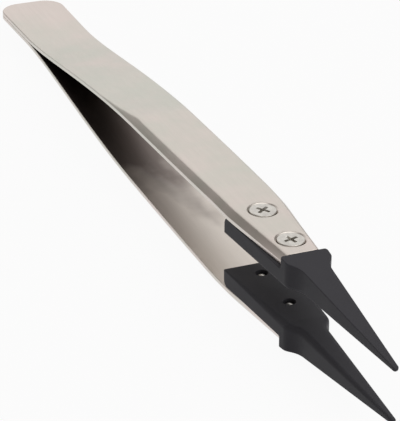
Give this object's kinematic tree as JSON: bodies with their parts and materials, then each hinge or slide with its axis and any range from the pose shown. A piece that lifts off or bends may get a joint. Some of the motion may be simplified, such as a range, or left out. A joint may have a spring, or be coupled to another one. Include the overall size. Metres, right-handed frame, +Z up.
{
  "type": "anti-static tweezers",
  "caption": "Anti-static tweezers: two spring steel arms welded at the tail, with replaceable pointed conductive plastic tips held by flush countersunk screws.",
  "frame": {"origin": "bottom centre of the bounding box, on the surface that the tweezers lie on", "axes": "+X along the tweezers from the welded tail to the tips, +Z up through both arms, Y across the arms"},
  "size_m": [0.13, 0.01, 0.0128],
  "materials": {
    "arm_steel": "satin stainless steel with fine brushing along the arm",
    "tip_plastic": "matt black carbon-filled plastic, as moulded",
    "screw_steel": "satin stainless steel"
  },
  "bodies": {
    "lower_half": {"lower_arm": "arm_steel", "lower_tip": "tip_plastic", "lower_rear_screw": "screw_steel", "lower_front_screw": "screw_steel"},
    "upper_half": {"upper_arm": "arm_steel", "upper_tip": "tip_plastic", "upper_rear_screw": "screw_steel", "upper_front_screw": "screw_steel"}
  },
  "joints": [
    {"name": "squeeze", "type": "hinge", "parent": "lower_half", "child": "upper_half", "pos_m": [-0.03407, 0, 0.00652], "axis": [0, 1, 0], "range_deg": [0, 3.44], "stiffness_Nm_per_rad": 0.6}
  ]
}
